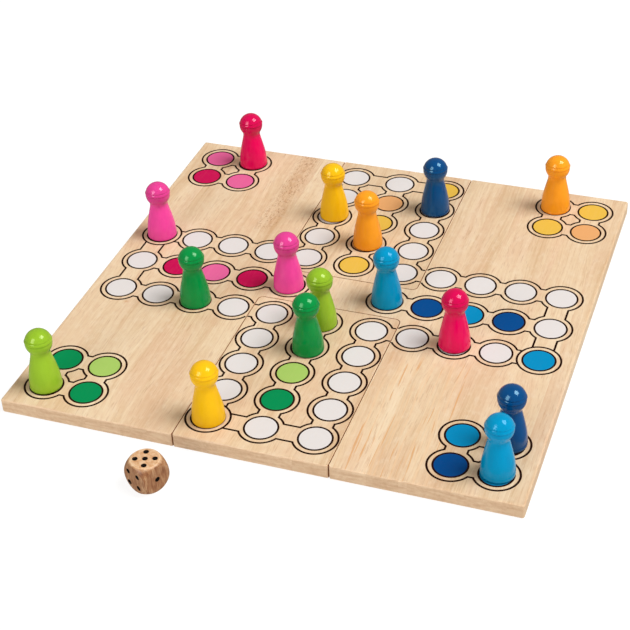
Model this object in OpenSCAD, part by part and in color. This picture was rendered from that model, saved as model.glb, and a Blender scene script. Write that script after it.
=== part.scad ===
// Wooden ludo board with lift-out arm panels, sixteen turned pawns and a die.
// Origin: centre of the board's underside. +X right, +Y back, +Z up.

/* [Board] */
// Side of the square board
board_s = 500; // [490:1:520]
// Thickness of the boards
board_t = 15; // [14:0.5:18]
// Rounding of the outer top and bottom edges
edge_r = 2; // [1:0.5:3]
// Rounding of the vertical corners at the outside
corner_r = 2.5; // [1:0.5:4]

/* [Arm panels] */
// Width of the opening that an arm panel fills
arm_w = 150; // [148:1:152]
// Width of the crossbar between the two openings
bar_w = 52; // [50:1:54]
// Gap all round a panel
seam = 0.5; // [0.4:0.1:0.8]
// Radius of the inner corners of an opening
inner_r = 6; // [4:0.5:8]

/* [Hidden shelf] */
// Width of the shelf along the two legs
shelf_w = 12; // [8:1:16]
// Width of the shelf along the crossbar, which carries the dowels
shelf_bar_w = 16; // [14:1:20]
// Height of the shelf
shelf_t = 7; // [6:0.5:8]
// Distance from the outer edge at which the shelf stops
shelf_stop = 26; // [20:1:40]
// Clearance between the shelf and the panel above it
shelf_gap = 0.3; // [0.3:0.1:0.6]

/* [Dowels] */
// Diameter of a dowel
dowel_d = 6; // [5:0.5:8]
// Distance of a dowel from the middle of the panel
dowel_x = 45; // [30:1:55]
// Height of a dowel above the shelf
dowel_up = 4.6; // [3:0.1:5]
// Depth of a dowel in the shelf
dowel_in = 5.5; // [4:0.5:6]
// Radial clearance of a dowel in the panel
dowel_fit = 0.08; // [0.05:0.01:0.1]

/* [Track] */
// Pitch of the fields along an arm
pitch = 41.5; // [41:0.5:42]
// Pitch of the fields across an arm
cross_pitch = 52; // [51:0.5:53]
// Distance of the outer home fields from the middle
home_out = 217.5; // [216:0.5:219]
// Pitch of the home fields
home_pitch = 41; // [40:0.5:42]

/* [Pawns] */
// Radius of the foot
foot_r = 15.7; // [14:0.1:17]
// Radius of the neck
neck_r = 9.5; // [8:0.1:11]
// Radius of the head
head_r = 13.2; // [12:0.1:14]
// Height of the middle of the head
head_z = 51; // [48:0.5:54]

/* [Die] */
// Width across two faces
die_s = 30; // [25:1:32]
// Radius of the ball that rounds the corners, as a share of the width
die_ball = 0.673; // [0.65:0.005:0.72]
// Radius of a pip
pip_r = 2.6; // [1.5:0.1:2.8]
// Distance of the outer pips from the middle of a face
pip_o = 6.3; // [5:0.1:7]
// Middle of the die in front of the board, left to right
die_x = -75.5; // [-90:0.5:-60]
// Middle of the die in front of the board, front to back
die_y = -301.5; // [-330:0.5:-280]
// Turn of the die
die_yaw = 63; // [0:1:90]

/* [Hidden] */
$fn = 64;

half = board_s / 2;
leg_w = (board_s - arm_w) / 2;
arm_l = (board_s - bar_w) / 2;
wood = [0.90, 0.78, 0.60];
dowel_wood = [0.83, 0.68, 0.48];
die_wood = [0.80, 0.62, 0.42];
dowel_y = bar_w / 2 + shelf_bar_w / 2;
pip_ball = 1.35 * pip_r;

// Place of a field on the track, counted from 0 to 10, along one axis
function along(i) = i == 5 ? 0 : sign(i - 5) * (cross_pitch + (abs(i - 5) - 1) * pitch);
// Place of a home field along one axis
function home(i) = i == 0 ? -home_out : i == 1 ? -home_out + home_pitch : i == 9 ? home_out - home_pitch : home_out;

// Rectangle with its own radius on the near and the far corners
module plate(x0, y0, x1, y1, rn, rf) {
  union() {
    translate([x0 + rn, y0]) square([x1 - x0 - 2 * rn, rn]);
    translate([x0, y0 + rn]) square([x1 - x0, y1 - y0 - rn - rf]);
    translate([x0 + rf, y1 - rf]) square([x1 - x0 - 2 * rf, rf]);
    for (x = [x0 + rn, x1 - rn]) translate([x, y0 + rn]) circle(r = rn);
    for (x = [x0 + rf, x1 - rf]) translate([x, y1 - rf]) circle(r = rf);
  }
}

// Section of the whole board with rounded outer edges
module section() {
  plate(-half, 0, half, board_t, edge_r, edge_r);
}

// Everything inside the rounded outer edges of the board
module rounded_block() {
  intersection() {
    rotate([90, 0, 0]) linear_extrude(board_s + 2, center = true) section();
    rotate([90, 0, 90]) linear_extrude(board_s + 2, center = true) section();
  }
}

// Inside fillet in the corner at x, y, opening towards sx, sy
module fillet(x, y, sx, sy) {
  difference() {
    translate([min(x, x + sx * inner_r), min(y, y + sy * inner_r)]) square([inner_r, inner_r]);
    translate([x + sx * inner_r, y + sy * inner_r]) circle(r = inner_r);
  }
}

// Outline of the main board: two legs and the crossbar
module h_outline() {
  union() {
    plate(-half, -half, -half + leg_w, half, corner_r, corner_r);
    plate(half - leg_w, -half, half, half, corner_r, corner_r);
    translate([-arm_w / 2 - 1, -bar_w / 2]) square([arm_w + 2, bar_w]);
    for (sx = [-1, 1], sy = [-1, 1]) fillet(sx * arm_w / 2, sy * bar_w / 2, -sx, sy);
  }
}

// Shelf round one opening, on the back side of the crossbar
module shelf_outline() {
  difference() {
    translate([-arm_w / 2 - 1, bar_w / 2 - 1]) square([arm_w + 2, arm_l - shelf_stop + 1]);
    plate(-arm_w / 2 + shelf_w, bar_w / 2 + shelf_bar_w, arm_w / 2 - shelf_w, half + 5, inner_r, 1);
  }
}

// Everything under the lap of a panel, on the back side of the crossbar
module rebate_outline() {
  difference() {
    translate([-arm_w / 2 - 1, bar_w / 2 - 1]) square([arm_w + 2, arm_l - shelf_stop + 1 + seam]);
    plate(-arm_w / 2 + shelf_w + seam, bar_w / 2 + shelf_bar_w + seam, arm_w / 2 - shelf_w - seam, half + 5, inner_r - seam, 1);
  }
}

module main_board() color(wood) {
  difference() {
    union() {
      intersection() {
        rounded_block();
        linear_extrude(board_t) h_outline();
      }
      for (a = [0, 180]) rotate([0, 0, a]) linear_extrude(shelf_t) shelf_outline();
    }
    for (x = [-dowel_x, dowel_x], y = [-dowel_y, dowel_y])
      translate([x, y, shelf_t - dowel_in]) cylinder(h = dowel_in + 1, r = dowel_d / 2 + 0.02);
  }
}

// One arm panel, on the back side of the crossbar
module panel() {
  difference() {
    intersection() {
      rounded_block();
      linear_extrude(board_t)
        plate(-arm_w / 2 + seam, bar_w / 2 + seam, arm_w / 2 - seam, half, inner_r - seam, corner_r);
    }
    translate([0, 0, -1]) linear_extrude(shelf_t + shelf_gap + 1) rebate_outline();
    for (x = [-dowel_x, dowel_x])
      translate([x, dowel_y, shelf_t - 1]) cylinder(h = dowel_up + 1.4, r = dowel_d / 2 + dowel_fit);
  }
}

module front_arm_panel() color(wood) rotate([0, 0, 180]) panel();
module back_arm_panel() color(wood) panel();

// A dowel with an eased top, glued into the shelf
module dowel(x, y) color(dowel_wood) translate([x, y, shelf_t - dowel_in]) {
  union() {
    cylinder(h = dowel_in + dowel_up - 0.8, r = dowel_d / 2);
    translate([0, 0, dowel_in + dowel_up - 0.8]) cylinder(h = 0.8, r1 = dowel_d / 2, r2 = dowel_d / 2 - 0.8);
  }
}

// Half section of a pawn: foot, flared body and neck, then the round head
module pawn_section() {
  union() {
    polygon([
      [0, 0], [foot_r - 1.6, 0], [foot_r - 0.5, 0.5], [foot_r, 1.6],
      [foot_r - 0.25, 5.6], [foot_r - 1.0, 13.8], [foot_r - 2.6, 22.2],
      [neck_r + 1.9, 30], [neck_r + 0.55, 35.6], [neck_r, 39], [neck_r, head_z - 6], [0, head_z - 6]
    ]);
    intersection() {
      translate([0, head_z]) circle(r = head_r);
      translate([0, head_z - head_r]) square([head_r + 1, 2 * head_r]);
    }
  }
}

// A pawn on the field at x, y, set down a little off its middle by dx, dy
module pawn(x, y, dx, dy, c) color(c) translate([x + dx, y + dy, board_t]) rotate_extrude() pawn_section();

// One pip at u, v on the top face
module pip(u, v) {
  translate([u, v, die_s / 2 + sqrt(pip_ball * pip_ball - pip_r * pip_r)]) sphere(r = pip_ball);
}

// Face with n pips, drawn on top of the die
module pips(n) {
  if (n % 2 == 1) pip(0, 0);
  if (n > 1) for (s = [-1, 1]) pip(s * pip_o, s * pip_o);
  if (n > 3) for (s = [-1, 1]) pip(-s * pip_o, s * pip_o);
  if (n == 6) for (s = [-1, 1]) pip(s * pip_o, 0);
}

module die() color(die_wood) translate([die_x, die_y, die_s / 2]) rotate([0, 0, die_yaw]) {
  difference() {
    intersection() {
      cube(die_s, center = true);
      sphere(r = die_ball * die_s);
    }
    pips(5);
    rotate([180, 0, 0]) pips(2);
    rotate([90, 0, 0]) pips(1);
    rotate([-90, 0, 0]) pips(6);
    rotate([0, 90, 0]) pips(3);
    rotate([0, -90, 0]) pips(4);
  }
}

crimson = [0.80, 0.06, 0.33];
pink = [0.90, 0.28, 0.60];
light_green = [0.55, 0.78, 0.18];
dark_green = [0.05, 0.56, 0.28];
yellow = [0.96, 0.75, 0.10];
orange = [0.95, 0.57, 0.14];
dark_blue = [0.02, 0.28, 0.55];
light_blue = [0.05, 0.58, 0.80];

main_board();
front_arm_panel();
back_arm_panel();
dowel(-dowel_x, -dowel_y);  // dowel_front_left
dowel(dowel_x, -dowel_y);  // dowel_front_right
dowel(-dowel_x, dowel_y);  // dowel_back_left
dowel(dowel_x, dowel_y);  // dowel_back_right
pawn(home(1), home(10), 0.7, 0.2, crimson);  // pawn_crimson_home
pawn(along(8), along(4), 0.2, 1.5, crimson);  // pawn_crimson_track
pawn(along(0), along(6), 0.5, -0.1, pink);  // pawn_pink_start
pawn(along(4), along(5), -0.1, -2.4, pink);  // pawn_pink_crossbar
pawn(home(0), home(0), -0.4, -0.1, light_green);  // pawn_light_green_home
pawn(along(5), along(4), 0.9, -1.3, light_green);  // pawn_light_green_track
pawn(along(2), along(4), 0.8, -0.7, dark_green);  // pawn_dark_green_track
pawn(along(5), along(3), 2.1, -2.5, dark_green);  // pawn_dark_green_lane
pawn(along(4), along(8), 1.9, 2.4, yellow);  // pawn_yellow_back
pawn(along(4), along(0), 1.2, -1, yellow);  // pawn_yellow_front
pawn(along(5), along(7), 1.9, 0.5, orange);  // pawn_orange_lane
pawn(home(9), home(10), 0.1, -1.6, orange);  // pawn_orange_home
pawn(along(6), along(9), 0.4, 0.4, dark_blue);  // pawn_dark_blue_track
pawn(home(10), home(1), 1.7, 1.9, dark_blue);  // pawn_dark_blue_home
pawn(along(6), along(5), 0.1, -0.7, light_blue);  // pawn_light_blue_crossbar
pawn(home(10), home(0), 0.6, 2.1, light_blue);  // pawn_light_blue_home
die();
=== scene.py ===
import math

import bpy
import bmesh
from mathutils import Matrix, Vector


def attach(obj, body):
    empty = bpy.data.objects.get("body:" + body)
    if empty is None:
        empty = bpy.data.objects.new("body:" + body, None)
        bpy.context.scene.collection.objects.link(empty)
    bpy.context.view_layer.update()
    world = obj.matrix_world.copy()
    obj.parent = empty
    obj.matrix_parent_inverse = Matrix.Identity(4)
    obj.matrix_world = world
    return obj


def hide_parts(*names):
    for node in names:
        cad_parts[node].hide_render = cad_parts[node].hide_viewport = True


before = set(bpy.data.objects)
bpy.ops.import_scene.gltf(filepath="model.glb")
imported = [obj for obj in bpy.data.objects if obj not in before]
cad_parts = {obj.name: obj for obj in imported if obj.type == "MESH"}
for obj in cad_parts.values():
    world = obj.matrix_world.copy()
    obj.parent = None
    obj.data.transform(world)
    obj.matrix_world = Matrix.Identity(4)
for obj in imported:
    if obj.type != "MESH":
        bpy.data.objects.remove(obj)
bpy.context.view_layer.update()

# Wooden board game: an H-shaped board with two lift-out arm panels, sixteen turned pawns and a die.
# Lengths in this script are millimetres; MM turns them into metres.
MM = 0.001
scene = bpy.context.scene

HALF, THICK = 250.0, 15.0
ARM_HALF, BAR_HALF = 75.0, 26.0
SEAM = 0.5
EASE_OUT, EASE_SEAM = 2.0, 0.38
CORNER_R, INNER_R = 2.5, 6.0
SHELF_W, SHELF_BAR, SHELF_T, SHELF_STOP, SHELF_GAP = 12.0, 16.0, 7.0, 26.0, 0.3
DOWEL_X, DOWEL_Y, DOWEL_R = 45.0, 34.0, 3.0
DOWEL_UP, DOWEL_IN, DOWEL_FIT = 4.6, 5.5, 0.08
PITCH, CROSS = 41.5, 52.0
HOME_OUT, HOME_PITCH = 217.5, 41.0
HEAD_Z = 51.0
BELT_LOW, BELT_TOP = 2.0, 5.6
DIE_S, DIE_BALL, DIE_YAW = 30.0, 0.673, 63.0
DIE_AT = (-75.5, -301.5, 15.0)
PIP_R, PIP_O = 2.6, 6.3


# ---------------------------------------------------------------- colour and node helpers

def srgb(r, g, b):
    def f(c):
        c /= 255.0
        return c / 12.92 if c <= 0.04045 else ((c + 0.055) / 1.055) ** 2.4
    return (f(r), f(g), f(b), 1.0)


class Graph:
    """A small builder for one node material."""

    def __init__(self, name):
        self.mat = bpy.data.materials.new(name)
        self.mat.use_nodes = True
        self.t = self.mat.node_tree
        self.t.nodes.clear()
        out = self.t.nodes.new("ShaderNodeOutputMaterial")
        self.bsdf = self.t.nodes.new("ShaderNodeBsdfPrincipled")
        self.t.links.new(self.bsdf.outputs[0], out.inputs[0])

    def put(self, socket, v):
        if isinstance(v, bpy.types.NodeSocket):
            self.t.links.new(v, socket)
        else:
            socket.default_value = v

    def set(self, **values):
        for k, v in values.items():
            self.put(self.bsdf.inputs[k.replace("_", " ")], v)

    def math(self, op, a, b=0.0, clamp=False):
        n = self.t.nodes.new("ShaderNodeMath")
        n.operation, n.use_clamp = op, clamp
        self.put(n.inputs[0], a)
        self.put(n.inputs[1], b)
        return n.outputs[0]

    def vec(self, op, a, b):
        n = self.t.nodes.new("ShaderNodeVectorMath")
        n.operation = op
        self.put(n.inputs[0], a)
        if op == "SCALE":
            self.put(n.inputs["Scale"], b)
        else:
            self.put(n.inputs[1], b)
        return n.outputs["Value"] if op in ("LENGTH", "DOT_PRODUCT", "DISTANCE") else n.outputs["Vector"]

    def object_mm(self):
        n = self.t.nodes.new("ShaderNodeTexCoord")
        return self.vec("SCALE", n.outputs["Object"], 1000.0)

    def normal(self):
        return self.t.nodes.new("ShaderNodeNewGeometry").outputs["Normal"]

    def split(self, v):
        n = self.t.nodes.new("ShaderNodeSeparateXYZ")
        self.put(n.inputs[0], v)
        return n.outputs

    def join(self, x, y, z):
        n = self.t.nodes.new("ShaderNodeCombineXYZ")
        for i, v in enumerate((x, y, z)):
            self.put(n.inputs[i], v)
        return n.outputs[0]

    def noise(self, v, detail=2.0, rough=0.5, scale=1.0, distortion=0.0):
        n = self.t.nodes.new("ShaderNodeTexNoise")
        self.put(n.inputs["Vector"], v)
        n.inputs["Scale"].default_value = scale
        n.inputs["Detail"].default_value = detail
        n.inputs["Roughness"].default_value = rough
        n.inputs["Distortion"].default_value = distortion
        return n.outputs["Fac"]

    def remap(self, v, a, b, c=0.0, d=1.0, smooth=True):
        n = self.t.nodes.new("ShaderNodeMapRange")
        n.interpolation_type = "SMOOTHSTEP" if smooth else "LINEAR"
        n.clamp = True
        self.put(n.inputs["Value"], v)
        for k, x in (("From Min", a), ("From Max", b), ("To Min", c), ("To Max", d)):
            self.put(n.inputs[k], x)
        return n.outputs["Result"]

    def ramp(self, v, stops, mode="LINEAR"):
        n = self.t.nodes.new("ShaderNodeValToRGB")
        r = n.color_ramp
        r.interpolation = mode
        while len(r.elements) > 1:
            r.elements.remove(r.elements[-1])
        for i, (p, c) in enumerate(stops):
            e = r.elements[0] if i == 0 else r.elements.new(p)
            e.position = p
            e.color = c if len(c) == 4 else (*c, 1.0)
        self.put(n.inputs[0], v)
        return n.outputs["Color"]

    def mix(self, fac, a, b, blend="MIX"):
        n = self.t.nodes.new("ShaderNodeMix")
        n.data_type, n.blend_type = "RGBA", blend
        self.put(n.inputs[0], fac)
        self.put(n.inputs[6], a)
        self.put(n.inputs[7], b)
        return n.outputs[2]

    def bump(self, height, strength, distance, normal=None):
        n = self.t.nodes.new("ShaderNodeBump")
        n.inputs["Strength"].default_value = strength
        n.inputs["Distance"].default_value = distance * MM
        self.put(n.inputs["Height"], height)
        if normal is not None:
            self.put(n.inputs["Normal"], normal)
        return n.outputs[0]


# ---------------------------------------------------------------- materials

def strips(edges_tones):
    """Constant ramp stops for the glued strips: (x in mm where the strip starts, tone)."""
    return [((x + HALF) / (2 * HALF), (t, t, t, 1.0)) for x, t in edges_tones]


def rubberwood(name, stops, seed, extras=None):
    g = Graph(name)
    p = g.object_mm()
    x, y, z = g.split(p)
    u = g.math("DIVIDE", g.math("ADD", x, HALF), 2 * HALF)
    tone = g.ramp(u, strips(stops), "CONSTANT")
    tone_f = g.math("MULTIPLY", tone, 1.0)
    # every strip has its own piece of grain, and its own slight slope
    sx = g.math("ADD", x, g.math("MULTIPLY", tone_f, 61.0 + seed))
    sy = g.math("ADD", y, g.math("MULTIPLY", tone_f, 1730.0 + 31.0 * seed))
    sz = g.math("ADD", z, g.math("MULTIPLY", tone_f, 97.0 + seed))
    lean = g.math("MULTIPLY", g.math("SUBTRACT", tone_f, 0.5), 0.05)
    sx = g.math("ADD", sx, g.math("MULTIPLY", y, lean))
    wander = g.noise(g.vec("MULTIPLY", g.join(sx, sy, sz), (0.012, 0.0045, 0.03)), 2.0, 0.5)
    sx = g.math("ADD", sx, g.math("MULTIPLY", g.math("SUBTRACT", wander, 0.5), 26.0))
    c = g.join(sx, sy, sz)
    broad = g.noise(g.vec("MULTIPLY", c, (0.045, 0.0032, 0.07)), 2.0, 0.55)
    streak = g.noise(g.vec("MULTIPLY", c, (0.26, 0.0055, 0.3)), 3.0, 0.6)
    fine = g.noise(g.vec("MULTIPLY", c, (1.15, 0.016, 1.2)), 2.0, 0.5)
    fibre = g.noise(g.vec("MULTIPLY", c, (2.6, 0.05, 2.6)), 2.0, 0.6)
    pore_n = g.noise(g.vec("MULTIPLY", c, (1.05, 0.07, 1.05)), 1.0, 0.4)
    dash_n = g.noise(g.vec("MULTIPLY", g.vec("ADD", c, (311.0, 47.0, 19.0)), (0.62, 0.040, 0.62)), 1.0, 0.3)
    mottle = g.noise(g.vec("MULTIPLY", c, (0.20, 0.11, 0.2)), 3.0, 0.6)
    v = g.math("ADD", g.math("MULTIPLY", broad, 0.44), g.math("MULTIPLY", streak, 0.34))
    v = g.math("ADD", v, g.math("MULTIPLY", fine, 0.22))
    wood = g.ramp(v, [
        (0.30, srgb(204, 165, 123)),
        (0.40, srgb(219, 188, 150)),
        (0.50, srgb(230, 204, 169)),
        (0.60, srgb(236, 214, 182)),
        (0.72, srgb(241, 223, 196)),
    ])
    # strips differ a little in tone, from pinkish to straw
    strip_tint = g.ramp(tone_f, [
        (0.0, (0.90, 0.865, 0.83)),
        (0.35, (0.965, 0.945, 0.92)),
        (0.65, (1.0, 0.995, 0.985)),
        (1.0, (1.03, 1.045, 1.06)),
    ])
    wood = g.mix(1.0, wood, strip_tint, "MULTIPLY")
    near_pores = g.remap(broad, 0.36, 0.62, 0.35, 1.0)
    pores = g.math("MULTIPLY", g.remap(pore_n, 0.60, 0.72), near_pores)
    dashes = g.math("MULTIPLY", g.remap(dash_n, 0.64, 0.74), near_pores)
    blush = g.noise(g.vec("MULTIPLY", g.vec("ADD", c, (83.0, 29.0, 5.0)), (0.022, 0.0052, 0.03)), 2.0, 0.5)
    wood = g.mix(g.remap(blush, 0.48, 0.66, 0.0, 0.36), wood, srgb(222, 182, 150))
    wood = g.mix(g.remap(blush, 0.48, 0.34, 0.0, 0.28), wood, srgb(240, 222, 190))
    wood = g.mix(g.remap(mottle, 0.50, 0.72, 0.0, 0.24), wood, srgb(216, 172, 138))
    wood = g.mix(g.remap(mottle, 0.50, 0.28, 0.0, 0.30), wood, srgb(240, 222, 198))
    wood = g.mix(g.math("MULTIPLY", pores, 0.33), wood, srgb(174, 124, 88))
    wood = g.mix(g.math("MULTIPLY", dashes, 0.27), wood, srgb(180, 126, 88))
    wood = g.mix(g.remap(fibre, 0.35, 0.75, 0.0, 0.14), wood, srgb(188, 145, 108))
    if extras:
        wood = extras(g, wood, x, y, z, c, streak, fine)
    # end grain on the short faces, long grain everywhere else
    nx, ny, nz = g.split(g.normal())
    end = g.remap(g.math("ABSOLUTE", ny), 0.45, 0.9)
    rings = g.noise(g.vec("MULTIPLY", g.join(sx, 7.0, sz), (0.05, 0.0, 0.38)), 2.0, 0.55)
    speck = g.noise(g.vec("MULTIPLY", g.join(sx, 3.0, sz), (2.4, 0.0, 2.4)), 1.0, 0.4)
    end_col = g.ramp(g.math("ADD", g.math("MULTIPLY", rings, 0.6), g.math("MULTIPLY", streak, 0.4)), [
        (0.34, srgb(206, 168, 132)),
        (0.50, srgb(220, 186, 150)),
        (0.66, srgb(230, 201, 166)),
    ])
    end_col = g.mix(g.remap(speck, 0.58, 0.74, 0.0, 0.4), end_col, srgb(176, 130, 92))
    end_col = g.mix(1.0, end_col, strip_tint, "MULTIPLY")
    wood = g.mix(end, wood, end_col)
    g.set(Base_Color=wood)
    rough = g.math("ADD", g.remap(fine, 0.3, 0.7, 0.40, 0.50), g.math("MULTIPLY", pores, 0.12))
    rough = g.math("ADD", rough, g.math("MULTIPLY", end, 0.12))
    g.set(Roughness=rough, Specular_IOR_Level=0.38, Coat_Weight=0.12, Coat_Roughness=0.32)
    h = g.math("SUBTRACT", g.math("MULTIPLY", fibre, 0.35), g.math("ADD", pores, g.math("MULTIPLY", dashes, 0.7)))
    g.set(Normal=g.bump(h, 0.22, 0.10))
    return g.mat


def box_mask(g, x, y, x0, x1, y0, y1, soft):
    a = g.math("MULTIPLY", g.remap(x, x0 - soft, x0 + soft), g.remap(x, x1 - soft, x1 + soft, 1.0, 0.0))
    b = g.math("MULTIPLY", g.remap(y, y0 - 2 * soft, y0 + 2 * soft), g.remap(y, y1 - 2 * soft, y1 + 2 * soft, 1.0, 0.0))
    return g.math("MULTIPLY", a, b)


def main_extras(g, wood, x, y, z, c, streak, fine):
    # a streak of brown flecks in the back left quarter
    m = box_mask(g, x, y, -127.0, -105.0, 92.0, 300.0, 6.0)
    flecks = g.noise(g.vec("MULTIPLY", c, (0.42, 0.16, 0.3)), 2.0, 0.6)
    f = g.math("MULTIPLY", m, g.remap(flecks, 0.50, 0.68))
    wood = g.mix(g.math("MULTIPLY", m, 0.16), wood, srgb(206, 160, 122))
    wood = g.mix(g.math("MULTIPLY", f, 0.40), wood, srgb(176, 122, 84))
    spots = g.noise(g.vec("MULTIPLY", c, (0.75, 0.42, 0.6)), 1.0, 0.5)
    wood = g.mix(g.math("MULTIPLY", g.math("MULTIPLY", m, g.remap(spots, 0.60, 0.68)), 0.62), wood, srgb(150, 94, 60))
    # golden figure in the front right quarter
    m = box_mask(g, x, y, 80.0, 166.0, -300.0, -84.0, 8.0)
    f = g.math("MULTIPLY", m, g.remap(streak, 0.50, 0.64))
    wood = g.mix(g.math("MULTIPLY", f, 0.30), wood, srgb(228, 180, 124))
    lines = g.noise(g.vec("MULTIPLY", c, (0.34, 0.012, 0.4)), 2.0, 0.5)
    f = g.math("MULTIPLY", m, g.remap(lines, 0.60, 0.66))
    wood = g.mix(g.math("MULTIPLY", f, 0.72), wood, srgb(214, 156, 98))
    # a small red-brown mark near the left edge
    dx = g.math("MULTIPLY", g.math("ADD", x, 202.0), 0.30)
    dy = g.math("MULTIPLY", g.math("ADD", y, 73.0), 0.42)
    d = g.math("SQRT", g.math("ADD", g.math("MULTIPLY", dx, dx), g.math("MULTIPLY", dy, dy)))
    m = g.remap(g.math("ADD", d, g.math("MULTIPLY", fine, 0.9)), 0.5, 1.7, 1.0, 0.0)
    return g.mix(g.math("MULTIPLY", m, 0.5), wood, srgb(202, 140, 92))


WOOD_MAIN = rubberwood("rubberwood_main", [
    (-250, 0.72), (-214, 0.56), (-163, 0.76), (-128, 0.34), (-101, 0.60), (-58, 0.74), (-12, 0.48),
    (34, 0.66), (75, 0.78), (108, 0.38), (137, 0.86), (146, 0.56), (196, 0.68), (233, 0.42)], 3.0, main_extras)
WOOD_FRONT = rubberwood("rubberwood_front", [(-75, 0.55), (-42, 0.40), (-3, 0.63), (41, 0.35)], 11.0)
WOOD_BACK = rubberwood("rubberwood_back", [(-75, 0.36), (-49, 0.58), (6, 0.45), (52, 0.66)], 23.0)


def seam_shade_wood():
    """Cut faces inside the seams: the same wood, painted darker brown as shade in the narrow seams."""
    g = Graph("rubberwood_seam_shade")
    p = g.object_mm()
    grain = g.noise(g.vec("MULTIPLY", p, (0.3, 0.03, 0.9)), 3.0, 0.6)
    col = g.ramp(grain, [(0.3, srgb(138, 80, 44)), (0.7, srgb(180, 120, 74))])
    g.set(Base_Color=col, Roughness=0.62, Specular_IOR_Level=0.3)
    g.set(Normal=g.bump(grain, 0.3, 0.1))
    return g.mat


WOOD_SEAM_SHADE = seam_shade_wood()


def lacquer(name, rgb, deep_shade, gloss=(1.0, 1.0, 1.0), head=0.0, shine=0.32):
    """Glossy paint on turned wood. rgb is the paint; the second colour is the darker one that painted shade in the belt
    groove, under the belt step and at the foot, the darker head and a random mottle mix toward; gloss is the tint of
    its shine; head is how much darker the head is painted.
    """
    g = Graph(name)
    p = g.object_mm()
    x, y, z = g.split(p)
    cloud = g.noise(g.vec("MULTIPLY", p, (0.09, 0.09, 0.05)), 2.0, 0.5)
    grain = g.noise(g.vec("MULTIPLY", p, (1.1, 1.1, 0.035)), 2.0, 0.5)
    # painted shade: darker in the belt groove, under the belt step and towards the foot
    groove = g.math("MULTIPLY", g.remap(z, HEAD_Z + BELT_TOP - 0.9, HEAD_Z + BELT_TOP - 0.6), g.remap(z, HEAD_Z + BELT_TOP - 0.3, HEAD_Z + BELT_TOP, 1.0, 0.0))
    step = g.math("MULTIPLY", g.remap(z, HEAD_Z + BELT_LOW - 1.4, HEAD_Z + BELT_LOW - 0.2), g.remap(z, HEAD_Z + BELT_LOW, HEAD_Z + BELT_LOW + 0.25, 1.0, 0.0))
    foot = g.remap(z, 0.5, 1.7, 1.0, 0.0)
    shade_and_mottle = g.math("MAXIMUM", g.math("MULTIPLY", groove, 0.26), g.math("MULTIPLY", step, 0.40))
    shade_and_mottle = g.math("MAXIMUM", shade_and_mottle, g.math("MULTIPLY", g.remap(z, 0.6, 3.4, 1.0, 0.0), 0.7))
    # the head is painted darker than the body, by the head amount
    if head:
        shade_and_mottle = g.math("ADD", shade_and_mottle, g.remap(z, HEAD_Z - 14.0, HEAD_Z - 6.0, 0.0, head), True)
    shade_and_mottle = g.math("ADD", shade_and_mottle, g.remap(cloud, 0.35, 0.7, 0.0, 0.16), True)
    shade_and_mottle = g.math("ADD", shade_and_mottle, g.remap(grain, 0.45, 0.75, 0.0, 0.07), True)
    col = g.mix(shade_and_mottle, srgb(*rgb), srgb(*deep_shade))
    # painted contact shadow: the lowest edge darkened strongly toward the darker colour
    col = g.mix(g.math("MULTIPLY", foot, 0.7), col, srgb(*(c * 0.34 for c in deep_shade)))
    g.set(Base_Color=col)
    g.set(Roughness=g.remap(cloud, 0.3, 0.7, 0.11, 0.16), Specular_IOR_Level=shine, Specular_Tint=(*gloss, 1.0))
    g.set(Coat_Weight=0.06, Coat_Roughness=0.06, Coat_IOR=1.45)
    peel = g.noise(p, 1.0, 0.4, 0.35)
    h = g.math("ADD", g.math("MULTIPLY", peel, 0.8), g.math("MULTIPLY", grain, 0.3))
    g.set(Normal=g.bump(h, 0.035, 0.12))
    return g.mat


PAINT = {
    "crimson": lacquer("lacquer_crimson", (238, 0, 94), (184, 0, 66), (1.0, 0.72, 0.88), 0.42),
    "pink": lacquer("lacquer_pink", (252, 74, 170), (206, 56, 130), (1.0, 0.94, 1.0), 0.50),
    "light_green": lacquer("lacquer_light_green", (157, 199, 50), (112, 160, 24), (1.0, 1.0, 0.6), 0.20),
    "dark_green": lacquer("lacquer_dark_green", (0, 146, 68), (0, 94, 42), (0.66, 1.0, 0.70)),
    "yellow": lacquer("lacquer_yellow", (249, 195, 20), (222, 150, 4), (1.0, 0.95, 0.55)),
    "orange": lacquer("lacquer_orange", (255, 164, 36), (228, 122, 12), (1.0, 0.9, 0.6)),
    "dark_blue": lacquer("lacquer_dark_blue", (0, 72, 132), (0, 36, 82), (0.42, 0.86, 1.0), 0.0, 0.50),
    "light_blue": lacquer("lacquer_light_blue", (0, 150, 200), (0, 104, 158), (0.32, 0.70, 0.90)),
}


def ink(name, rgb, show=0.045, rough=0.52):
    """Screen-printed colour on the varnished wood: the grain shows faintly through it."""
    g = Graph(name)
    p = g.object_mm()
    grain = g.noise(g.vec("MULTIPLY", p, (0.9, 0.03, 0.9)), 3.0, 0.6)
    mottle = g.noise(g.vec("MULTIPLY", p, (0.35, 0.25, 0.35)), 2.0, 0.5)
    speck = g.noise(g.vec("MULTIPLY", p, (2.2, 0.6, 2.2)), 1.0, 0.4)
    under = g.ramp(grain, [(0.3, srgb(196, 150, 108)), (0.7, srgb(238, 206, 165))])
    f = g.math("ADD", g.remap(grain, 0.42, 0.78, 0.0, show), g.remap(mottle, 0.4, 0.7, 0.0, show * 0.5))
    f = g.math("ADD", f, g.remap(speck, 0.68, 0.78, 0.0, show * 1.5), True)
    g.set(Base_Color=g.mix(f, srgb(*rgb), under))
    g.set(Roughness=g.remap(grain, 0.3, 0.7, rough - 0.04, rough + 0.06), Specular_IOR_Level=0.05)
    g.set(Normal=g.bump(grain, 0.10, 0.08))
    return g.mat


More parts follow.
